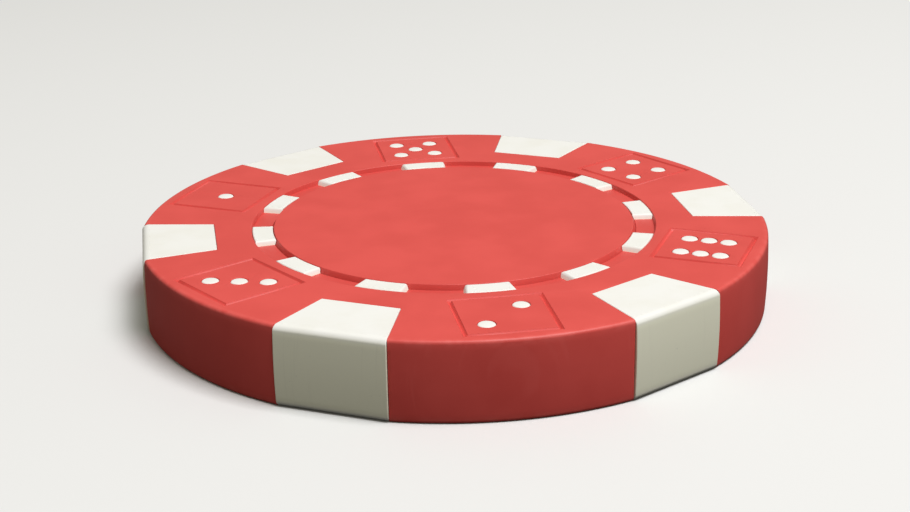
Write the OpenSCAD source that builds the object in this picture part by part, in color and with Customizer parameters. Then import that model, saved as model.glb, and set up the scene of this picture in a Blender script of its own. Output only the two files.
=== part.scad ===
// Dice-style poker chip: a red moulded body around a steel weight, with white
// edge spots, dashes and dice pips let into both faces.
// Millimetres. Origin at the middle of the lower face, +Z out of the upper face,
// +X through the middle of the first edge spot.

/* [Chip] */
// Diameter over the red rim
chip_d = 40; // [36:0.5:48]
// Thickness from face to face
chip_t = 4.9; // [4.2:0.1:6]
// Bevel along both edges of the red rim
rim_bevel = 0.2; // [0.05:0.05:0.4]
// Gap left at each side of a piece that is let in
fit_gap = 0.02; // [0.01:0.01:0.05]

/* [Dash ring] */
// Width of the band between the rim and the groove that the dashes stand in
band_w = 7.15; // [6.5:0.05:8.5]
// Width of that groove
groove_w = 1.2; // [0.8:0.1:1.6]
// Depth of that groove
groove_depth = 0.32; // [0.2:0.02:0.5]
// Length of a dash along the middle of the groove
dash_len = 3.05; // [2:0.05:4]

/* [Centre] */
// Thickness of each centre disc
disc_t = 1.4; // [0.8:0.1:1.6]
// How far a centre disc widens from its face to the bottom of the groove
disc_slope = 0.15; // [0.05:0.05:0.3]
// Width of the ledge around the weight that a centre disc rests on
ledge_w = 0.6; // [0.3:0.05:3]

/* [Edge spots] */
// How far the middle of a spot's flat end lies inside the rim
spot_inset = 0.2; // [0.1:0.05:0.6]
// Length of a spot, from its flat end inwards
spot_len = 4.6; // [3.5:0.1:5]
// Width of a spot at its flat end
spot_outer_w = 6.8; // [5:0.1:8]
// Width of a spot at its inner end
spot_inner_w = 4.85; // [3.5:0.05:6]
// Reach inwards of the bevels along the upper and lower edges of the flat end
spot_bevel_w = 0.45; // [0.2:0.05:0.8]
// Height of those bevels
spot_bevel_h = 0.3; // [0.2:0.05:0.8]
// Bevel on the upright corners of the rim beside a spot
corner_bevel = 0.15; // [0.05:0.05:0.5]
// Length of the tongue that holds a spot in the body
tongue_len = 1; // [0.5:0.1:1.5]
// Width of the tongue
tongue_w = 2.4; // [1.5:0.1:3]
// Thickness of the tongue
tongue_t = 1.2; // [0.8:0.1:1.6]

/* [Dice] */
// Distance from the rim to the square line around a die
die_margin = 1; // [0.6:0.05:1.4]
// Side of that square, along the middle of its line
die_w = 5.3; // [4.8:0.1:5.8]
// Width of the line
line_w = 0.3; // [0.1:0.05:0.5]
// Depth of the line
line_depth = 0.2; // [0.05:0.05:0.3]
// Diameter of a pip
pip_d = 1.05; // [0.7:0.05:1.2]
// Gap between neighbouring pips in a row of three
pip_gap = 0.17; // [0.1:0.01:0.3]
// Depth of a pip in the body
pip_len = 0.8; // [0.4:0.1:1.2]

/* [Hidden] */
$fn = 96;
SPOTS = 6;
DASHES = 12;
SPOT_STEP = 360 / SPOTS;
DASH_STEP = 360 / DASHES;
// Number of pips on each die, anticlockwise from the one after the first spot
DICE = [4, 5, 1, 3, 2, 6];
PIP_WORDS = ["one", "two", "three", "four", "five", "six"];
FACES = ["upper", "lower"];

rim_r = chip_d / 2;
groove_r = rim_r - band_w;
disc_r = groove_r - groove_w;
slug_r = disc_r - ledge_w;
slug_t = chip_t - 2 * disc_t;
spot_end = rim_r - spot_inset;
spot_start = spot_end - spot_len;
die_r = rim_r - die_margin - die_w / 2;
pip_pitch = pip_d + pip_gap;
dash_angle = dash_len / (groove_r - groove_w / 2) * 180 / PI;

RED = [0.78, 0.13, 0.12];
WHITE = [0.95, 0.94, 0.9];
STEEL = [0.6, 0.61, 0.63];

function dash_name(face, i) = str(face, "_dash_", i < 10 ? "0" : "", i);
function pips_name(face, count) = str(face, "_pips_", PIP_WORDS[count - 1]);

// Angle of the die that shows this many pips
function die_angle(count) = (search(count, DICE)[0] + 0.5) * SPOT_STEP;

// Places of a die's pips, as steps outwards and anticlockwise from its middle
function pip_places(count) = concat(
    count % 2 == 1 ? [[0, 0]] : [],
    count > 1 ? [[1, -1], [-1, 1]] : [],
    count > 3 ? [[1, 1], [-1, -1]] : [],
    count > 5 ? [[0, 1], [0, -1]] : []
);

// Half the width of a spot at a distance from the chip's axis
function spot_half_w(x) =
    (spot_inner_w + (spot_outer_w - spot_inner_w) * (x - spot_start) / spot_len) / 2;

// Turns what is drawn on the upper face over to the face that is named
module on_face(face) {
    if (face == "upper")
        children();
    else
        translate([0, 0, chip_t]) rotate([180, 0, 0]) children();
}

// Puts what is drawn around the origin on a die's middle, on the upper face
module at_die(count) {
    rotate(die_angle(count)) translate([die_r, 0, chip_t]) children();
}

// Half section of the body, with the seats for the weight and the centre discs
module body_section() {
    disc_seat_r = disc_r + fit_gap;
    slug_seat_r = slug_r + fit_gap;
    polygon([
        [groove_r, 0],
        [rim_r - rim_bevel, 0],
        [rim_r, rim_bevel],
        [rim_r, chip_t - rim_bevel],
        [rim_r - rim_bevel, chip_t],
        [groove_r, chip_t],
        [groove_r, chip_t - groove_depth],
        [disc_seat_r, chip_t - groove_depth],
        [disc_seat_r, chip_t - disc_t],
        [slug_seat_r, chip_t - disc_t],
        [slug_seat_r, disc_t],
        [disc_seat_r, disc_t],
        [disc_seat_r, groove_depth],
        [groove_r, groove_depth]
    ]);
}

// Half section of a centre disc under its face, with a sloping edge in the groove
module disc_section() {
    polygon([
        [0, -disc_t],
        [disc_r, -disc_t],
        [disc_r, -groove_depth],
        [disc_r - disc_slope, 0],
        [0, 0]
    ]);
}

// Section of a dash under the face. It fills the groove and leans on the disc's edge.
module dash_section() {
    inner = disc_r + fit_gap;
    outer = groove_r - fit_gap;
    polygon([[inner, -groove_depth], [outer, -groove_depth], [outer, 0], [inner - disc_slope, 0]]);
}

// Outline of a spot from above
module spot_plan() {
    near = spot_half_w(spot_start);
    far = spot_half_w(spot_end);
    polygon([[spot_start, -near], [spot_end, -far], [spot_end, far], [spot_start, near]]);
}

// Outline of the room around a spot, which widens where it cuts the corners off the rim
module notch_plan() {
    corner_x = sqrt(rim_r ^ 2 - spot_half_w(rim_r) ^ 2);
    from = spot_start - fit_gap;
    bend = corner_x - corner_bevel;
    to = chip_d;
    near = spot_half_w(from) + fit_gap;
    middle = spot_half_w(bend) + fit_gap;
    far = middle + to - bend;
    polygon([[from, -near], [bend, -middle], [to, -far], [to, far], [bend, middle], [from, near]]);
}

// Outline of a spot from the side, with its two bevels
module spot_side() {
    polygon([
        [spot_start, 0],
        [spot_end - spot_bevel_w, 0],
        [spot_end, spot_bevel_h],
        [spot_end, chip_t - spot_bevel_h],
        [spot_end - spot_bevel_w, chip_t],
        [spot_start, chip_t]
    ]);
}

// Tongue of a spot, or with a gap the slot that it slides into
module tongue(gap) {
    size = [tongue_len + spot_len / 2, tongue_w, tongue_t] + gap * [1, 2, 2];
    translate([spot_start - tongue_len - gap, -size.y / 2, (chip_t - size.z) / 2]) cube(size);
}

// Room that a spot takes in the body, open at the rim
module spot_notch() {
    translate([0, 0, -chip_t / 2]) linear_extrude(2 * chip_t) notch_plan();
    tongue(fit_gap);
}

// One peg for each pip of a die, up from the bottom of its hole
module pip_pegs(count, d, h) {
    for (place = pip_places(count))
        translate([place.x * pip_pitch, place.y * pip_pitch, -pip_len]) cylinder(d = d, h = h);
}

// Square line around a die, as the room that it takes in the face
module die_line() {
    translate([0, 0, -line_depth]) linear_extrude(2 * line_depth)
        difference() {
            square(die_w + line_w, center = true);
            square(die_w - line_w, center = true);
        }
}

// Red ring that everything else is let into
module moulded_body() {
    color(RED)
        difference() {
            rotate_extrude() body_section();
            for (i = [0:SPOTS - 1])
                rotate(i * SPOT_STEP) spot_notch();
            for (face = FACES, count = DICE)
                on_face(face) at_die(count) {
                    pip_pegs(count, pip_d + 2 * fit_gap, 2 * pip_len);
                    die_line();
                }
        }
}

// Flat round weight in the middle
module steel_slug() {
    color(STEEL) translate([0, 0, disc_t]) cylinder(r = slug_r, h = slug_t);
}

// Plain red disc that closes the weight in
module centre_disc(face) {
    color(RED) on_face(face) translate([0, 0, chip_t]) rotate_extrude() disc_section();
}

// White piece in the rim, right through the thickness
module edge_spot(i) {
    color(WHITE) rotate((i - 1) * SPOT_STEP) {
        intersection() {
            linear_extrude(chip_t) spot_plan();
            rotate([90, 0, 0])
                linear_extrude(2 * (spot_outer_w + spot_inner_w), center = true) spot_side();
        }
        tongue(0);
    }
}

// White dash standing in the groove, flush with the face
module dash(face, i) {
    color(WHITE) on_face(face)
        translate([0, 0, chip_t])
            rotate((i - 1) * DASH_STEP - dash_angle / 2)
                rotate_extrude(angle = dash_angle) dash_section();
}

// White pips of one die
module die_pips(face, count) {
    color(WHITE) on_face(face) at_die(count) pip_pegs(count, pip_d, pip_len);
}

moulded_body();
steel_slug();
for (face = FACES)
    centre_disc(face);
for (i = [1:SPOTS])
    edge_spot(i);
for (face = FACES, i = [1:DASHES])
    dash(face, i);
for (face = FACES, count = [1:6])
    die_pips(face, count);
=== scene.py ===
# %% [markdown]
# # A dice-style poker chip
# The chip is a red moulded ring around a steel weight. White pieces are let into it: six edge spots that
# go right through, a ring of dashes on each face, and the pips of six dice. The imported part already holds
# every piece at its size and place. This lesson gives them soft edges, sunk lines and handled plastic,
# and then lays the chip on a pale table under soft light.

# %% Load the part
from math import asin, atan, atan2, cos, pi, radians, sin, sqrt

import bmesh
import bpy
import numpy as np
from mathutils import Matrix, Vector


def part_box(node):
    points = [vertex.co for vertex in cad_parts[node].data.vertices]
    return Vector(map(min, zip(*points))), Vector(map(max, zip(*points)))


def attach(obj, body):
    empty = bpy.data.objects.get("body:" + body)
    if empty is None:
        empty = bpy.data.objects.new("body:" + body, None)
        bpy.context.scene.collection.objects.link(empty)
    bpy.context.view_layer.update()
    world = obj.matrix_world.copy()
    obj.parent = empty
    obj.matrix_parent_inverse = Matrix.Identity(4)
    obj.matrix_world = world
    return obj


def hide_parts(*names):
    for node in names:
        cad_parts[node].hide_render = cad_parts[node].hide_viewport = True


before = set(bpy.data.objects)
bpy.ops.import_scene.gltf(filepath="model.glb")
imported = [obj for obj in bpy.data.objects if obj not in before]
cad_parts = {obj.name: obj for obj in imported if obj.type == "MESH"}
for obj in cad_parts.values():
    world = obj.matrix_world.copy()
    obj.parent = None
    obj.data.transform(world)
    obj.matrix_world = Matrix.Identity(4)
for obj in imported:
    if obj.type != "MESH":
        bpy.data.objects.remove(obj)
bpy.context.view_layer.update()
print("nodes in the part:", len(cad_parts))

# %% [markdown]
# ## Sizes
# The boxes of the nodes already say how large most things are, so the looks can't drift away from the
# part. Only what no box shows is written here as a number, in millimetres.

# %% Read the sizes from the nodes
MM = 0.001
SPOTS = 6
DASHES = 12
# Number of pips on each die, anticlockwise from the one after the first spot
DICE = [4, 5, 1, 3, 2, 6]
PIP_WORDS = ["one", "two", "three", "four", "five", "six"]
FACES = ["upper", "lower"]
FIT_GAP = 0.02 * MM  # at each side of a piece that is let in
DISC_SLOPE = 0.15 * MM  # how far a disc widens from its face to the groove's floor
WALL_SLOPE = 0.06 * MM  # how far the groove's outer wall leans out from its floor to the face
SPOT_LENGTH = 4.6 * MM
SPOT_INNER_WIDTH = 4.85 * MM
DIE_SIDE = 5.3 * MM

body_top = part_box("moulded_body")[1]
rim_radius = body_top.y
thickness = body_top.z

disc_low, disc_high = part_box("upper_centre_disc")
disc_radius = disc_high.x
disc_thickness = disc_high.z - disc_low.z
slug_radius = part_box("steel_slug")[1].x

dash_low, dash_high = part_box("upper_dash_01")
groove_radius = dash_high.x + FIT_GAP
groove_depth = thickness - dash_low.z
dash_half_angle = asin(dash_high.y / dash_high.x)

spot_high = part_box("edge_spot_1")[1]
spot_end = spot_high.x
spot_start = spot_end - SPOT_LENGTH
spot_slope = (spot_high.y - SPOT_INNER_WIDTH / 2) / SPOT_LENGTH

pip_low, pip_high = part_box("upper_pips_one")
pip_radius = (pip_high.x - pip_low.x) / 2
pip_depth = pip_high.z - pip_low.z
die_radius = ((pip_low + pip_high) / 2).xy.length
pair_low, pair_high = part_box("upper_pips_two")
pip_pitch = (pair_high.x - pair_low.x) / 2 - pip_radius
print("chip across and thick, mm:", round(2 * rim_radius / MM, 2), round(thickness / MM, 2))
print("pips across and apart, mm:", round(2 * pip_radius / MM, 2), round(pip_pitch / MM, 2))

# %% [markdown]
# ## Node trees as expressions
# Both finishes and shapes are node trees here. Long lists of nodes and links are hard to read, so a small
# class stands for one output of a node, and arithmetic on it adds Math nodes. One method makes any other
# node: its settings go first, because they decide which sockets it shows.

# %% A field and the graph it belongs to
class Field:
    """One output of a node. Arithmetic on it adds Math nodes to the same graph."""

    def __init__(self, graph, socket):
        self.graph = graph
        self.socket = socket

    def other(self, name):
        """Another output of the same node."""
        return Field(self.graph, self.socket.node.outputs[name])

    def math(self, operation, *values):
        return self.graph.node("ShaderNodeMath", {"operation": operation}, dict(enumerate(values)))

    def __add__(self, value):
        return self.math("ADD", self, value)

    def __sub__(self, value):
        return self.math("SUBTRACT", self, value)

    def __rsub__(self, value):
        return self.math("SUBTRACT", value, self)

    def __mul__(self, value):
        return self.math("MULTIPLY", self, value)

    def __rtruediv__(self, value):
        return self.math("DIVIDE", value, self)

    def __pow__(self, value):
        return self.math("POWER", self, value)

    def __abs__(self):
        return self.math("ABSOLUTE", self)

    __radd__ = __add__
    __rmul__ = __mul__

    def between(self, low, high):
        """0 up to low, 1 from high on, and a smooth rise between them. High may be the lower one."""
        settings = {"interpolation_type": "SMOOTHSTEP"}
        return self.graph.node("ShaderNodeMapRange", settings,
                               {"Value": self, "From Min": low, "From Max": high})


class Graph:
    """A node tree that is being built."""

    def __init__(self, tree):
        self.tree = tree

    def node(self, kind, settings=None, sockets=None, output=None):
        """A new node: its settings, then a value, a field or a list of fields for each socket."""
        node = self.tree.nodes.new(kind)
        for name, value in (settings or {}).items():
            setattr(node, name, value)
        for key, value in (sockets or {}).items():
            if isinstance(key, int):
                socket = node.inputs[key]
            else:
                socket = next(s for s in node.inputs if s.enabled and s.name == key)
            for item in value if isinstance(value, list) else [value]:
                if isinstance(item, Field):
                    self.tree.links.new(item.socket, socket)
                else:
                    socket.default_value = item
        shown = [s for s in node.outputs if s.enabled and output in (None, s.name)]
        return Field(self, shown[0]) if shown else None

# %% [markdown]
# ## What the finishes share
# Wear and dirt follow from where a point lies on the chip, so the finishes read Object coordinates. A
# painted image would need the pieces unwrapped first, and it would blur close up. Noise does without both.
# Drawn out in one direction, the same noise gives hairline scratches.

# %% Helpers for a finish
PER_MM = 1 / MM
# Hairlines: direction in degrees, then length and width in millimetres
HAIRLINES = [(20, 9, 0.11), (75, 6, 0.09), (140, 12, 0.13)]
SCRATCH_RANGE = (0.68, 0.76)  # only the peaks of the noise become hairlines


def start_finish(name):
    """An empty material and its graph."""
    material = bpy.data.materials.new(name)
    material.use_nodes = True
    material.node_tree.nodes.clear()
    return material, Graph(material.node_tree)


def mixed(graph, share, first, second):
    """One colour turning into another."""
    return graph.node("ShaderNodeMix", {"data_type": "RGBA"}, {"Factor": share, "A": first, "B": second})


def grain(graph, place, size, detail=2.0):
    """Soft noise with features of about this size in millimetres."""
    return graph.node("ShaderNodeTexNoise", None,
                      {"Vector": place, "Scale": PER_MM / size, "Detail": detail})


def scratches(graph, place, angle, length, width):
    """Hairlines in one direction: noise drawn out along its length."""
    drawn = graph.node("ShaderNodeMapping", None, {
        "Vector": place,
        "Rotation": (0, 0, radians(angle)),
        "Scale": (PER_MM / length, PER_MM / width, PER_MM / length),
    })
    lines = graph.node("ShaderNodeTexNoise", None, {"Vector": drawn, "Scale": 1.0, "Detail": 1.0})
    return lines.between(*SCRATCH_RANGE)


def hairlines(graph, place):
    """Scratches in all directions, added up."""
    first, *others = [scratches(graph, place, *line) for line in HAIRLINES]
    return sum(others, first)


def on_the_piece(graph):
    """Where a point lies. Every piece sits at the origin, so this is its place on the chip too."""
    return graph.node("ShaderNodeTexCoord", output="Object")


def axis_distance(graph, place):
    """How far a point lies from the chip's axis."""
    x = graph.node("ShaderNodeSeparateXYZ", None, {"Vector": place}, "X")
    y = x.other("Y")
    return (x * x + y * y) ** 0.5


def face_depth(graph, place):
    """How far a point lies under the nearer face."""
    height = graph.node("ShaderNodeSeparateXYZ", None, {"Vector": place}, "Z")
    return thickness / 2 - abs(height - thickness / 2)

# %% [markdown]
# ## Moulded plastic
# Red and white are the same plastic in two colours, so they share one shader: a low shine, and a bump so
# fine that it only breaks the highlights up. The bump's height is grain, less the hairlines that are
# scratched into it, plus the slow waves of the pigment.

# %% The plastic that both colours share
FINE_GRAIN = 0.25  # in millimetres, as the size of every grain is
GRAIN_HEIGHT, LINE_HEIGHT = 0.4, 0.3  # shares of the bump's depth
BUMP_DEPTH = 0.02 * MM
SHINE = 0.5
LINE_ROUGHNESS = 0.08


def finish_plastic(graph, place, colour, roughness, lines, waves, bump):
    """Ends a plastic: its colour and roughness, hairlines, slow waves, and how strong its bump is."""
    height = grain(graph, place, FINE_GRAIN) * GRAIN_HEIGHT - lines * LINE_HEIGHT + waves
    shader = graph.node("ShaderNodeBsdfPrincipled", None, {
        "Base Color": colour,
        "Roughness": lines * LINE_ROUGHNESS + roughness,
        "Specular IOR Level": SHINE,
        "Normal": graph.node("ShaderNodeBump", None,
                             {"Strength": bump, "Distance": BUMP_DEPTH, "Height": height}),
    })
    graph.node("ShaderNodeOutputMaterial", None, {"Surface": shader})

# %% [markdown]
# ## Red plastic
# The red body is moulded plastic with a low shine. It isn't one even red: the pigment swirls a little,
# handling leaves hairlines, the edge of the rim is rubbed paler, and dust stays in the groove. Each of
# these is a mask between 0 and 1 that mixes one more tone into the red, so each can be tuned by itself.

# %% Red plastic
RED = (0.74, 0.084, 0.072, 1)
RED_DEEP = (0.69, 0.072, 0.061, 1)
RED_RUBBED = (0.80, 0.13, 0.115, 1)
RED_DUSTY = (0.42, 0.040, 0.034, 1)
SWIRL_SIZE, SWIRL_DETAIL = 3.5, 4.0
SWIRL_RANGE = (0.3, 0.7)
PATCH_SIZE = 0.8
PATCH_RANGE = (0.35, 0.65)
RUBBED_FROM, RUBBED_TO = 0.55 * MM, 0.1 * MM  # distance from the edge of the rim
DUST_FROM, DUST_TO = 0.04 * MM, 0.3 * MM  # depth in the groove
DUST_EDGE = groove_radius + 0.1 * MM  # no dust further out than this
LINES_PALER, RUBBED_PALER, DUST_DARKER = 0.12, 0.5, 0.15
RED_ROUGHNESS, SWIRL_ROUGHNESS = 0.44, 0.12
SWIRL_HEIGHT = 0.6
RED_BUMP = 0.25


def red_plastic():
    material, graph = start_finish("red_plastic")
    place = on_the_piece(graph)
    radius = axis_distance(graph, place)
    depth = face_depth(graph, place)
    swirl = grain(graph, place, SWIRL_SIZE, SWIRL_DETAIL)
    lines = hairlines(graph, place)
    from_edge = ((rim_radius - radius) ** 2 + depth ** 2) ** 0.5
    patches = grain(graph, place, PATCH_SIZE).between(*PATCH_RANGE)
    rubbed = from_edge.between(RUBBED_FROM, RUBBED_TO) * patches
    dusty = depth.between(DUST_FROM, DUST_TO) * radius.between(DUST_EDGE, groove_radius)
    colour = mixed(graph, swirl.between(*SWIRL_RANGE), RED_DEEP, RED)
    colour = mixed(graph, lines * LINES_PALER, colour, RED_RUBBED)
    colour = mixed(graph, rubbed * RUBBED_PALER, colour, RED_RUBBED)
    colour = mixed(graph, dusty * DUST_DARKER, colour, RED_DUSTY)
    roughness = swirl * SWIRL_ROUGHNESS + RED_ROUGHNESS
    finish_plastic(graph, place, colour, roughness, lines, swirl * SWIRL_HEIGHT, RED_BUMP)
    return material


red_finish = red_plastic()
print("red plastic nodes:", len(red_finish.node_tree.nodes))

# %% [markdown]
# ## White plastic
# The white pieces are the same plastic in a warm ivory white. Grey specks and a faint yellowing keep them
# from looking like paper, and the hairlines are the same as on the red, because they were scratched
# together. The sides are painted a warmer, brighter ivory than the faces: painted light for the warm light
# on the sides.

# %% White plastic
IVORY = (0.885, 0.88, 0.85, 1)
IVORY_AGED = (0.85, 0.84, 0.79, 1)
# Painted light: the sides take this warmer, brighter ivory in place of the warm light that falls on them
IVORY_PAINTED_SIDE_LIGHT = (0.97, 0.96, 0.775, 1)
IVORY_GREY = (0.62, 0.60, 0.53, 1)
AGED_SIZE, AGED_DETAIL = 2.2, 3.0
AGED_RANGE = (0.35, 0.75)
SPECK_SIZE = 0.22
SPECK_RANGE = (0.70, 0.80)
SIDE_LIGHT_FROM, SIDE_LIGHT_TO = 0.1 * MM, 0.5 * MM  # depth under the face
SIDE_LIGHT_SHARE, SPECKS_GREYER, LINES_GREYER = 0.9, 0.25, 0.06
WHITE_ROUGHNESS, AGED_ROUGHNESS = 0.42, 0.1
AGED_HEIGHT = 0.5
WHITE_BUMP = 0.2


def white_plastic():
    material, graph = start_finish("white_plastic")
    place = on_the_piece(graph)
    aged = grain(graph, place, AGED_SIZE, AGED_DETAIL)
    specks = grain(graph, place, SPECK_SIZE).between(*SPECK_RANGE)
    lines = hairlines(graph, place)
    # Painted light: below the faces the white turns to the warmer, brighter side ivory
    painted_side_light = face_depth(graph, place).between(SIDE_LIGHT_FROM, SIDE_LIGHT_TO)
    colour = mixed(graph, aged.between(*AGED_RANGE), IVORY, IVORY_AGED)
    colour = mixed(graph, painted_side_light * SIDE_LIGHT_SHARE, colour, IVORY_PAINTED_SIDE_LIGHT)
    colour = mixed(graph, specks * SPECKS_GREYER + lines * LINES_GREYER, colour, IVORY_GREY)
    roughness = aged * AGED_ROUGHNESS + WHITE_ROUGHNESS
    finish_plastic(graph, place, colour, roughness, lines, aged * AGED_HEIGHT, WHITE_BUMP)
    return material


white_finish = white_plastic()
print("white plastic nodes:", len(white_finish.node_tree.nodes))

# %% [markdown]
# ## Steel
# The weight is closed in and never shows, but it is a piece of the chip all the same. It is a disc punched
# from rolled sheet, so its faces carry the fine lines of the rolling in one direction. An image of brushed
# metal would do, but noise that is drawn out along one axis gives such lines at any size.

# %% Steel
STEEL = (0.56, 0.57, 0.58, 1)
STEEL_DARK = (0.40, 0.405, 0.41, 1)
STREAK_LENGTH, STREAK_WIDTH = 8, 0.06  # in millimetres
STREAK_RANGE = (0.4, 0.7)
STEEL_ROUGHNESS, STREAK_ROUGHNESS = 0.25, 0.25
STEEL_BUMP = 0.15
STREAK_DEPTH = 0.01 * MM


def rolled_steel():
    material, graph = start_finish("rolled_steel")
    rolling = graph.node("ShaderNodeMapping", None, {
        "Vector": on_the_piece(graph),
        "Scale": (PER_MM / STREAK_LENGTH, PER_MM / STREAK_WIDTH, PER_MM),
    })
    streaks = graph.node("ShaderNodeTexNoise", None, {"Vector": rolling, "Scale": 1.0, "Detail": 3.0})
    shader = graph.node("ShaderNodeBsdfPrincipled", None, {
        "Base Color": mixed(graph, streaks.between(*STREAK_RANGE), STEEL, STEEL_DARK),
        "Metallic": 1.0,
        "Roughness": streaks * STREAK_ROUGHNESS + STEEL_ROUGHNESS,
        "Normal": graph.node("ShaderNodeBump", None,
                             {"Strength": STEEL_BUMP, "Distance": STREAK_DEPTH, "Height": streaks}),
    })
    graph.node("ShaderNodeOutputMaterial", None, {"Surface": shader})
    return material


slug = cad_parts["steel_slug"]
slug.data.materials.clear()
slug.data.materials.append(rolled_steel())
print("steel goes on:", slug.name)

# %% [markdown]
# ## Skins over outlines
# Most pieces of the chip are an outline pushed through some thickness, with its edges rounded over. Such
# a shape is a stack of outlines: each one lies a little lower and a little further out than the one
# before it. Skinning the stack gives clean rows of faces, and the rounding is exactly as large as asked.
# A Bevel modifier could round edges too, but it needs a clean mesh and takes one width for all of it.

# %% Helpers for meshes
ROUND_STEPS = 4
ARC_STEPS = 6
SQUARE = [(-1, -1), (1, -1), (1, 1), (-1, 1)]


def new_object(name, points, edges=(), faces=()):
    mesh = bpy.data.meshes.new(name)
    mesh.from_pydata([tuple(point) for point in points], list(edges), [tuple(face) for face in faces])
    made = bpy.data.objects.new(name, mesh)
    bpy.context.scene.collection.objects.link(made)
    return made


def rounded_edge(radius):
    """How far in and how far down a quarter round lies, from the flat face over to the wall."""
    turns = [step / ROUND_STEPS * pi / 2 for step in range(ROUND_STEPS + 1)]
    return [(radius * (1 - sin(turn)), radius * (1 - cos(turn))) for turn in turns]


def inset_at(drop, reach, depth):
    """How far in a quarter ellipse lies at some distance under the face."""
    return reach * (1 - sqrt(1 - max(0, 1 - drop / depth) ** 2))


def arc(centre, radius, start, end, height):
    """Points on part of a circle round a centre, between two angles."""
    turns = np.linspace(start, end, ARC_STEPS + 1)
    return [(centre[0] + radius * cos(turn), centre[1] + radius * sin(turn), height) for turn in turns]


def mirrored(half):
    """An outline from its half on one side of the X axis."""
    return [(x, -y, z) for x, y, z in half] + half[::-1]


def skin(name, outlines, closed=False):
    """A mesh over a stack of outlines with equally many points, capped unless it closes on itself."""
    count = len(outlines[0])
    faces = []
    for level in range(len(outlines) if closed else len(outlines) - 1):
        here = level * count
        below = (level + 1) % len(outlines) * count
        for corner in range(count):
            after = (corner + 1) % count
            faces.append((here + corner, here + after, below + after, below + corner))
    if not closed:
        last = (len(outlines) - 1) * count
        faces += [range(count), range(last, last + count)]
    made = new_object(name, [point for outline in outlines for point in outline], faces=faces)
    shell = bmesh.new()
    shell.from_mesh(made.data)
    bmesh.ops.recalc_face_normals(shell, faces=shell.faces)
    shell.to_mesh(made.data)
    shell.free()
    return made


def circle(radius, height, count):
    turns = [i / count * 2 * pi for i in range(count)]
    return [(radius * cos(turn), radius * sin(turn), height) for turn in turns]

# %% [markdown]
# ## Trees that repeat a piece
# Six spots, twelve dashes and six dice stand evenly round the axis, and the lower face is the upper face
# turned over. Array modifiers could copy the pieces too, each set up by itself. Geometry Nodes say the
# rule once, and each small tree here can be a modifier by itself or a group inside a larger one.

# %% Trees for copies round the axis and on both faces
def start_tree(name, inputs):
    """A tree with a geometry going in and out, and these further inputs by name and kind."""
    tree = bpy.data.node_groups.new(name, "GeometryNodeTree")
    tree.interface.new_socket("Geometry", in_out="INPUT", socket_type="NodeSocketGeometry")
    for label, kind in inputs.items():
        tree.interface.new_socket(label, in_out="INPUT", socket_type="NodeSocket" + kind)
    tree.interface.new_socket("Geometry", in_out="OUTPUT", socket_type="NodeSocketGeometry")
    graph = Graph(tree)
    return graph, graph.node("NodeGroupInput")


def round_the_axis():
    graph, given = start_tree("round_the_axis", {"Copies": "Int", "First angle": "Float"})
    copies = given.other("Copies")
    index = graph.node("GeometryNodeInputIndex")
    turn = index * (2 * pi / copies) + given.other("First angle")
    copied = graph.node("GeometryNodeInstanceOnPoints", None, {
        "Points": graph.node("GeometryNodePoints", None, {"Count": copies}),
        "Instance": given,
        "Rotation": graph.node("ShaderNodeCombineXYZ", None, {"Z": turn}),
    })
    graph.node("NodeGroupOutput", None, {"Geometry": copied})
    return graph.tree


def on_both_faces():
    graph, given = start_tree("on_both_faces", {"Thickness": "Float"})
    turned = graph.node("GeometryNodeTransform", None, {
        "Geometry": given,
        "Translation": graph.node("ShaderNodeCombineXYZ", None, {"Z": given.other("Thickness")}),
        "Rotation": (pi, 0, 0),
    })
    both = graph.node("GeometryNodeJoinGeometry", None, {"Geometry": [given, turned]})
    graph.node("NodeGroupOutput", None, {"Geometry": both})
    return graph.tree


axis_tree = round_the_axis()
faces_tree = on_both_faces()


def round_axis(graph, piece, copies, first_angle):
    return graph.node("GeometryNodeGroup", {"node_tree": axis_tree},
                      {"Geometry": piece, "Copies": copies, "First angle": first_angle})


def both_faces(graph, piece):
    return graph.node("GeometryNodeGroup", {"node_tree": faces_tree},
                      {"Geometry": piece, "Thickness": thickness})


def finish_tree(graph, shape, material):
    """Ends a tree: copies become real faces, and they take the finish."""
    real = graph.node("GeometryNodeRealizeInstances", None, {"Geometry": shape})
    painted = graph.node("GeometryNodeSetMaterial", None, {"Geometry": real, "Material": material})
    graph.node("NodeGroupOutput", None, {"Geometry": painted})
    return graph.tree


print("trees:", [tree.name for tree in bpy.data.node_groups])

# %% [markdown]
# ## From tree to piece
# A tree works on an object as a modifier. The finished piece is a plain mesh, so the evaluated object is
# copied to a new mesh and the modifier goes. Edges that turn sharply stay sharp, and the Weighted Normal
# modifier lets the large flat faces decide the shading, so that a rounding beside them doesn't bend it.

# %% Turn a tree into a piece
SHARP_ANGLE = radians(38)


def bake_modifiers(piece):
    """Replaces an object's mesh by what its modifiers make of it."""
    graph = bpy.context.evaluated_depsgraph_get()
    mesh = bpy.data.meshes.new_from_object(piece.evaluated_get(graph), preserve_all_data_layers=True,
                                           depsgraph=graph)
    piece.modifiers.clear()
    piece.data = mesh


def grow(piece, tree, values, helpers=()):
    """Runs a tree on an object with these inputs, and removes the objects that only helped."""
    modifier = piece.modifiers.new(tree.name, "NODES")
    modifier.node_group = tree
    for socket in tree.interface.items_tree:
        if socket.in_out == "INPUT" and socket.name in values:
            modifier[socket.identifier] = values[socket.name]
    bake_modifiers(piece)
    for helper in helpers:
        bpy.data.objects.remove(helper)
    piece.data.shade_smooth()
    piece.data.set_sharp_from_angle(angle=SHARP_ANGLE)
    weighted = piece.modifiers.new("flat_faces_lead", "WEIGHTED_NORMAL")
    weighted.keep_sharp = True
    bake_modifiers(piece)
    print(piece.name, "faces:", len(piece.data.polygons))


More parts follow.
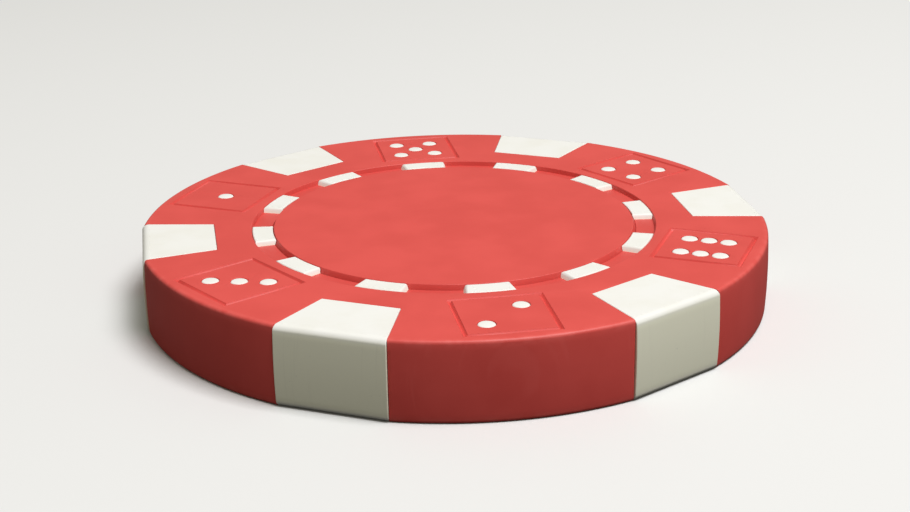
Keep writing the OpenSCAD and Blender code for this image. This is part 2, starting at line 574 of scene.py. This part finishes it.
def install(piece, nodes):
    """Lets a piece stand for its nodes on the one body that a chip has."""
    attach(piece, "root")
    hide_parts(*nodes)

# %% [markdown]
# ## The red moulding
# The red ring holds everything else. It is round, so its half-section says it all: rim, face, groove, and
# the seats of the disc and the weight. A cylinder could be cut and bevelled into the same form, but in a
# section the crowned rim and every rounding are simply points.

# %% Half-section of the ring
RIM_ROUND = 0.22 * MM
RIM_CROWN = 0.08 * MM  # how much further out the rim is at half height than at its edges
CROWN_STEPS = 6
SEAM_ROUND = 0.05 * MM
TURN_SEGMENTS = 240
PATH_RADIUS = 10 * MM  # any radius will do, because the section is moved in by as much

disc_seat = disc_radius + FIT_GAP
slug_seat = slug_radius + FIT_GAP


def crown(height):
    """How far the crowned rim lies inside its largest radius, at a height."""
    return RIM_CROWN * (2 * height / thickness - 1) ** 2


crown_heights = np.linspace(thickness / 2, thickness - RIM_ROUND, CROWN_STEPS + 1)[1:-1]
upper_half = [(rim_radius - crown(height), height) for height in crown_heights]
upper_half += [(rim_radius - crown(thickness - RIM_ROUND) - inset, thickness - drop)
               for inset, drop in reversed(rounded_edge(RIM_ROUND))]
upper_half += [(groove_radius + WALL_SLOPE + inset, thickness - drop)
               for inset, drop in rounded_edge(SEAM_ROUND)]
upper_half += [
    (groove_radius, thickness - groove_depth),
    (disc_seat, thickness - groove_depth),
    (disc_seat, thickness - disc_thickness),
    (slug_seat, thickness - disc_thickness),
]
# The lower half is the upper one turned over
section = upper_half + [(radius, thickness - height) for radius, height in reversed(upper_half)]
moulding = new_object(
    "red_moulding",
    [(radius, 0, height) for radius, height in section],
    edges=[(i, (i + 1) % len(section)) for i in range(len(section))],
)
print("points in the section:", len(section))

# %% [markdown]
# ## Cutters
# The real ring comes out of a mould with its notches, holes and lines, and no mould leaves a sharp edge.
# Here they are cut out. Rounding the edges afterwards would mean finding them among thousands, so each
# cutter for a notch or a hole flares where it leaves the face, and the rounding comes with the cut. The
# line around a die is a frame with slanted walls, so one wall catches the light and the other is dark.

# %% Cutters with flared shoulders
PIP_SIDES = 32
PAST_THE_RIM = 1.2  # how far out a notch cutter ends, as a share of the rim's radius
PAST_THE_FACE = 2  # how far a shoulder goes on above the face, in steps of its rounding
CORNER_ROUND = 0.15 * MM
LINE_DEPTH = 0.2 * MM
LINE_HALF_WIDTH = 0.15 * MM
# Across the line around a die: share of the half-width and share of the depth
LINE_SHAPE = [(1.5, -0.64), (0.3, 0.9), (0, 1), (-0.3, 0.9), (-1.5, -0.64)]

# How far out and how far down the shoulder of a cutter lies, from above the face down to the wall. The
# first step of the rounding is drawn on past the face, because corners in the face itself leave slivers.
seam = rounded_edge(SEAM_ROUND)
first_step = Vector(seam[1]) - Vector(seam[0])
shoulder = [tuple(Vector(seam[0]) - PAST_THE_FACE * first_step)] + seam[1:]


def spot_half_width(x):
    return SPOT_INNER_WIDTH / 2 + (x - spot_start) * spot_slope


# The sides of a spot slant, so a point this far from a side is further away across the spot
slant = sqrt(1 + spot_slope ** 2)
side_angle = atan(spot_slope)


def notch_outline(spread, height):
    """Outline of a notch. The rim is rounded over where it meets the notch's sides."""
    start = spot_start - spread
    offset = spot_half_width(0) + spread + CORNER_ROUND * slant
    # The rounding's middle lies as far from the side as from the rim
    reach = (rim_radius - CORNER_ROUND) ** 2
    x = (sqrt(reach * slant ** 2 - offset ** 2) - offset * spot_slope) / slant ** 2
    y = offset + spot_slope * x
    outward = atan2(y, x)
    corner = arc((x, y), CORNER_ROUND, side_angle - pi / 2, outward, height)
    far = PAST_THE_RIM * rim_radius
    return mirrored([(start, spot_half_width(start) + spread, height)] + corner
                    + [(far * cos(outward), far * sin(outward), height)])


def notch_cutter():
    upper = [(FIT_GAP + out, thickness - drop) for out, drop in shoulder]
    levels = upper + [(spread, thickness - height) for spread, height in reversed(upper)]
    return skin("notch_cutter", [notch_outline(spread, height) for spread, height in levels])


def pip_hole_cutter():
    hole = pip_radius + FIT_GAP
    levels = [(hole + out, -drop) for out, drop in shoulder] + [(hole, -pip_depth)]
    return skin("pip_hole_cutter", [circle(radius, height, PIP_SIDES) for radius, height in levels])


def die_line_cutter():
    outlines = []
    for across, down in LINE_SHAPE:
        half = DIE_SIDE / 2 + across * LINE_HALF_WIDTH
        height = thickness - down * LINE_DEPTH
        outlines.append([(die_radius + x * half, y * half, height) for x, y in SQUARE])
    return skin("die_line_cutter", outlines, closed=True)


notch = notch_cutter()
pip_hole = pip_hole_cutter()
die_line = die_line_cutter()
print("cutters:", notch.name, pip_hole.name, die_line.name)

# %% [markdown]
# ## Where the pips lie
# A die shows one to six pips in the usual pattern: one in the middle for odd numbers, then pairs in
# opposite corners, and for six a pair beside the middle. The pattern is a rule, so the places are worked
# out and become the points that pips and their holes are put on.

# %% Points for the pips
def pip_places(count):
    """Steps outwards and anticlockwise from the middle of a die."""
    places = [(0, 0)] if count % 2 else []
    if count > 1:
        places += [(1, -1), (-1, 1)]
    if count > 3:
        places += [(1, 1), (-1, -1)]
    if count > 5:
        places += [(0, 1), (0, -1)]
    return places


def pip_points():
    points = []
    for position, count in enumerate(DICE):
        turn = Matrix.Rotation((position + 0.5) * 2 * pi / SPOTS, 4, "Z")
        for out, side in pip_places(count):
            points.append(turn @ Vector((die_radius + out * pip_pitch, side * pip_pitch, thickness)))
    return points


layout = new_object("pip_layout", pip_points())
print("pips on a face:", len(layout.data.vertices))

# %% [markdown]
# ## Turning and cutting
# Curve to Mesh sweeps the section round a circle, as a lathe would turn it. The small trees set all the
# cutters in their places, and one Mesh Boolean takes them away together. A stack of Boolean modifiers, one
# for each cutter, would do the same work many times over.

# %% Turn and cut the ring
def moulding_tree():
    inputs = {"Segments": "Int", "Notch": "Object", "Pip hole": "Object", "Pip layout": "Object",
              "Die line": "Object", "Spots": "Int", "Finish": "Material"}
    graph, given = start_tree("moulded_ring", inputs)

    def solid(label):
        return graph.node("GeometryNodeObjectInfo", None, {"Object": given.other(label)}, "Geometry")

    flat = graph.node("GeometryNodeTransform", None, {
        "Geometry": given, "Translation": (-PATH_RADIUS, 0, 0), "Rotation": (pi / 2, 0, 0)})
    ring = graph.node("GeometryNodeCurveToMesh", None, {
        "Curve": graph.node("GeometryNodeCurvePrimitiveCircle", None,
                            {"Resolution": given.other("Segments"), "Radius": PATH_RADIUS}),
        "Profile Curve": graph.node("GeometryNodeMeshToCurve", None, {"Mesh": flat}),
    })
    # The swept faces point inwards, and the Boolean takes a solid whose faces point outwards
    outward = graph.node("GeometryNodeFlipFaces", None, {"Mesh": ring})
    holes = graph.node("GeometryNodeInstanceOnPoints", None,
                       {"Points": solid("Pip layout"), "Instance": solid("Pip hole")})
    spots = given.other("Spots")
    cutters = graph.node("GeometryNodeJoinGeometry", None, {"Geometry": [
        round_axis(graph, solid("Notch"), spots, 0),
        both_faces(graph, round_axis(graph, solid("Die line"), spots, pi / SPOTS)),
        both_faces(graph, holes),
    ]})
    cut = graph.node("GeometryNodeMeshBoolean", {"operation": "DIFFERENCE", "solver": "MANIFOLD"}, {
        "Mesh 1": outward,
        "Mesh 2": graph.node("GeometryNodeRealizeInstances", None, {"Geometry": cutters}),
    })
    return finish_tree(graph, cut, given.other("Finish"))


grow(moulding, moulding_tree(), {
    "Segments": TURN_SEGMENTS, "Notch": notch, "Pip hole": pip_hole, "Pip layout": layout,
    "Die line": die_line, "Spots": SPOTS, "Finish": red_finish,
}, [notch, pip_hole, die_line])
install(moulding, ["moulded_body"])

# %% [markdown]
# ## Pieces that repeat
# Discs, spots and dashes are each made once, as a skin over outlines, and one tree then sets the copies
# round the axis and, where they lie on a face, on the other face too.

# %% The tree for repeated pieces
def copies_tree(name, on_faces):
    graph, given = start_tree(name, {"Copies": "Int", "Finish": "Material"})
    copied = round_axis(graph, given, given.other("Copies"), 0)
    return finish_tree(graph, both_faces(graph, copied) if on_faces else copied, given.other("Finish"))


through_tree = copies_tree("copies_right_through", False)
face_tree = copies_tree("copies_on_both_faces", True)
print("trees for copies:", through_tree.name, face_tree.name)

# %% [markdown]
# ## Centre discs
# A plain red disc on each face closes the weight in. Its edge slopes down to the floor of the groove, and
# that slope is what looks dark or bright there. A cylinder with a Bevel would do for a straight edge. As
# a stack of circles, the disc gets its slope and its rounding at once.

# %% Centre discs
DISC_SIDES = 240
DISC_ROUND = 0.05 * MM


def centre_disc():
    face_radius = disc_radius - DISC_SLOPE
    levels = [(face_radius - inset, thickness - drop) for inset, drop in rounded_edge(DISC_ROUND)]
    levels += [(disc_radius, thickness - groove_depth), (disc_radius, thickness - disc_thickness)]
    return skin("red_discs", [circle(radius, height, DISC_SIDES) for radius, height in levels])


discs = centre_disc()
grow(discs, face_tree, {"Copies": 1, "Finish": red_finish})
install(discs, ["upper_centre_disc", "lower_centre_disc"])

# %% [markdown]
# ## Edge spots
# The white spots fill the notches from face to face. Their outer ends are flat where the red rim is round,
# and they roll over towards the faces much more softly than the seams do. A Bevel modifier would round
# all the edges alike, so each outline of the stack is drawn in by what both roundings ask for there.

# %% Edge spots
END_REACH = 0.45 * MM  # how far in from the flat end its rounding reaches on the face
END_DEPTH = 0.32 * MM  # how far down the flat end it reaches
END_CORNER = 0.05 * MM


def spot_outline(drop, height):
    """Outline of a spot at a height, drawn in near the faces. Its outer corners are rounded."""
    inset = inset_at(drop, SEAM_ROUND, SEAM_ROUND)
    end = spot_end - crown(height) - inset_at(drop, END_REACH, END_DEPTH)
    x = end - END_CORNER
    y = spot_half_width(x) - inset - END_CORNER * slant
    corner = arc((x, y), END_CORNER, side_angle + pi / 2, 0, height)
    start = spot_start + inset
    return mirrored([(start, spot_half_width(start) - inset, height)] + corner)


def edge_spot():
    drops = {drop for radius in (SEAM_ROUND, END_DEPTH) for _, drop in rounded_edge(radius)}
    drops |= set(np.linspace(END_DEPTH, thickness / 2, CROWN_STEPS + 1)[1:])
    levels = [(drop, thickness - drop) for drop in sorted(drops)]
    # The lower half mirrors the upper one, without the outline at half height that both share
    levels += [(drop, drop) for drop in sorted(drops, reverse=True)[1:]]
    return skin("white_spots", [spot_outline(drop, height) for drop, height in levels])


spots = edge_spot()
grow(spots, through_tree, {"Copies": SPOTS, "Finish": white_finish})
install(spots, [f"edge_spot_{i + 1}" for i in range(SPOTS)])

# %% [markdown]
# ## Dashes
# The dashes fill parts of the groove, flush with the face. They lean on its walls, and their ends slope
# too, so that they could come out of a mould. A straight block would need bending to follow the groove.
# An outline of two arcs is bent from the start.

# %% Dashes
DASH_ROUND = 0.12 * MM
DASH_STEPS = 12


def dash_outline(inset, height):
    """Two arcs and the ends between them, drawn in by an inset. The ends slope like the disc's edge."""
    rise = 1 - (thickness - height) / groove_depth
    lean = DISC_SLOPE * rise
    inner = disc_radius + FIT_GAP + inset - lean
    outer = groove_radius - FIT_GAP - inset + WALL_SLOPE * rise
    points = []
    for radius, direction in ((outer, 1), (inner, -1)):
        reach = dash_half_angle - (inset + lean) / radius
        turns = np.linspace(-reach, reach, DASH_STEPS + 1)[::direction]
        points += [(radius * cos(turn), radius * sin(turn), height) for turn in turns]
    return points


def dash():
    levels = [(inset, thickness - drop) for inset, drop in rounded_edge(DASH_ROUND)]
    levels.append((0, thickness - groove_depth))
    return skin("white_dashes", [dash_outline(inset, height) for inset, height in levels])


dashes = dash()
grow(dashes, face_tree, {"Copies": DASHES, "Finish": white_finish})
install(dashes, [f"{face}_dash_{i + 1:02d}" for face in FACES for i in range(DASHES)])

# %% [markdown]
# ## Pips
# A pip is a small white peg with a softly rounded top. It could be copied by hand onto every die, but the
# layout that placed the holes is still there. The tree puts a peg on each of its points and turns the
# whole set over for the lower face, so pegs and holes always agree.

# %% Pips
PIP_ROUND = 0.12 * MM


def pip_peg():
    levels = [(pip_radius - inset, -drop) for inset, drop in rounded_edge(PIP_ROUND)]
    levels.append((pip_radius, -pip_depth))
    return skin("pip_peg", [circle(radius, height, PIP_SIDES) for radius, height in levels])


def pips_tree():
    graph, given = start_tree("pips_on_the_dice", {"Pip": "Object", "Finish": "Material"})
    peg = graph.node("GeometryNodeObjectInfo", None, {"Object": given.other("Pip")}, "Geometry")
    placed = graph.node("GeometryNodeInstanceOnPoints", None, {"Points": given, "Instance": peg})
    return finish_tree(graph, both_faces(graph, placed), given.other("Finish"))


peg = pip_peg()
# The layout itself grows into the pips
pips = layout
pips.name = "white_pips"
grow(pips, pips_tree(), {"Pip": peg, "Finish": white_finish}, [peg])
install(pips, [f"{face}_pips_{word}" for face in FACES for word in PIP_WORDS])

# %% [markdown]
# ## Table
# The table is plain and pale. It would throw so much light back that the rim lost its shading, so only
# the camera sees the pale table. The rays that light the chip see a dark one. Far from the chip, where
# the lamp doesn't reach, the table fades into the tone of the surroundings, so no horizon shows. A curved
# backdrop would hide the horizon too, but only from one side.

# %% Table
TABLE_HALF = 3.0  # in metres, like the fade
TABLE_DROP = 0.01 * MM  # keeps the table out of the plane of the chip's lower face
FADE_FROM, FADE_TO = 0.1, 0.3  # distance from the chip
PALE = (0.77, 0.77, 0.77, 1)
TABLE_DARK = (0.08, 0.08, 0.08, 1)


def seen_by_camera(graph):
    return graph.node("ShaderNodeLightPath", output="Is Camera Ray")


def table_finish():
    material, graph = start_finish("pale_table")
    place = graph.node("ShaderNodeTexCoord", output="Object")
    distance = graph.node("ShaderNodeVectorMath", {"operation": "LENGTH"}, {0: place}, "Value")
    faded = graph.node("ShaderNodeMixShader", None, {
        0: distance.between(FADE_FROM, FADE_TO),
        1: graph.node("ShaderNodeBsdfDiffuse", None, {"Color": PALE}),
        2: graph.node("ShaderNodeEmission", None, {"Color": PALE}),
    })
    shader = graph.node("ShaderNodeMixShader", None, {
        0: seen_by_camera(graph),
        1: graph.node("ShaderNodeBsdfDiffuse", None, {"Color": TABLE_DARK}),
        2: faded,
    })
    graph.node("ShaderNodeOutputMaterial", None, {"Surface": shader})
    return material


table_corners = [(x * TABLE_HALF, y * TABLE_HALF, -TABLE_DROP) for x, y in SQUARE]
table = new_object("table", table_corners, faces=[range(len(SQUARE))])
table.data.materials.append(table_finish())
print("table across, m:", 2 * TABLE_HALF)

# %% [markdown]
# ## Camera
# The photograph was taken from close by, a little above the table. The chip's circles and spots give the
# camera away: how flat the circles look gives the height of the view, and how much smaller the far edge
# is gives the distance. Placing the camera by eye would come close, but measured values bring the pips
# into line as well. The first spot lies on the viewer's right, turned a little to the back.

# %% Camera
VIEW_AZIMUTH = radians(-9.58)
VIEW_ELEVATION = radians(18.94)
VIEW_DISTANCE = 109.93 * MM
VIEW_TILT = radians(1.207)
VIEW_PAN = radians(0.03)
VIEW_ROLL = radians(0.83)
LENS = 67.68  # in millimetres, like the sensor
SENSOR = 36
CLIP_START = 0.01

from_the_front = Vector((0, -cos(VIEW_ELEVATION), sin(VIEW_ELEVATION)))
toward_viewer = Matrix.Rotation(VIEW_AZIMUTH, 3, "Z") @ from_the_front
aim = (Matrix.Rotation(VIEW_AZIMUTH, 4, "Z")
       @ Matrix.Rotation(-VIEW_PAN, 4, "Z")
       @ Matrix.Rotation(pi / 2 - VIEW_ELEVATION - VIEW_TILT, 4, "X")
       @ Matrix.Rotation(-VIEW_ROLL, 4, "Z"))
camera = bpy.data.objects.new("camera", bpy.data.cameras.new("camera"))
camera.data.lens = LENS
camera.data.sensor_width = SENSOR
camera.data.clip_start = CLIP_START
stand = Vector((0, 0, thickness)) + toward_viewer * VIEW_DISTANCE
camera.matrix_world = Matrix.Translation(stand) @ aim
bpy.context.scene.collection.objects.link(camera)
bpy.context.scene.camera = camera
print("camera height above the table, mm:", round(stand.z / MM, 1))

# %% [markdown]
# ## Light
# One large soft lamp hangs high above the chip, a little to the right and towards the viewer, so the upper
# face is bright and the rim is in half shade, darker on the left. A dim, slightly warm world fills in the
# rest, and again only the camera sees it pale. More lamps would even the light out and flatten the rim.

# %% Light
LAMP_PLACE = (0.16, -0.11, 0.50)  # metres to the right, to the back and up, as the viewer sees it
LAMP_SIZE = 0.25
LAMP_POWER = 2.86
WORLD_FILL = (0.257, 0.247, 0.206, 1)

lamp = bpy.data.objects.new("key_lamp", bpy.data.lights.new("key_lamp", "AREA"))
lamp.data.size = LAMP_SIZE
lamp.data.energy = LAMP_POWER
lamp.location = Matrix.Rotation(VIEW_AZIMUTH, 3, "Z") @ Vector(LAMP_PLACE)
lamp.rotation_mode = "QUATERNION"
lamp.rotation_quaternion = (-lamp.location).to_track_quat("-Z", "Y")
bpy.context.scene.collection.objects.link(lamp)
print("lamp above the table, mm:", round(lamp.location.z / MM, 1))

world = bpy.data.worlds.new("studio")
world.use_nodes = True
world.node_tree.nodes.clear()
studio = Graph(world.node_tree)
backdrop = studio.node("ShaderNodeMixShader", None, {
    0: seen_by_camera(studio),
    1: studio.node("ShaderNodeBackground", None, {"Color": WORLD_FILL}),
    2: studio.node("ShaderNodeBackground", None, {"Color": PALE}),
})
studio.node("ShaderNodeOutputWorld", None, {"Surface": backdrop})
bpy.context.scene.world = world
bpy.context.scene.view_settings.view_transform = "Standard"
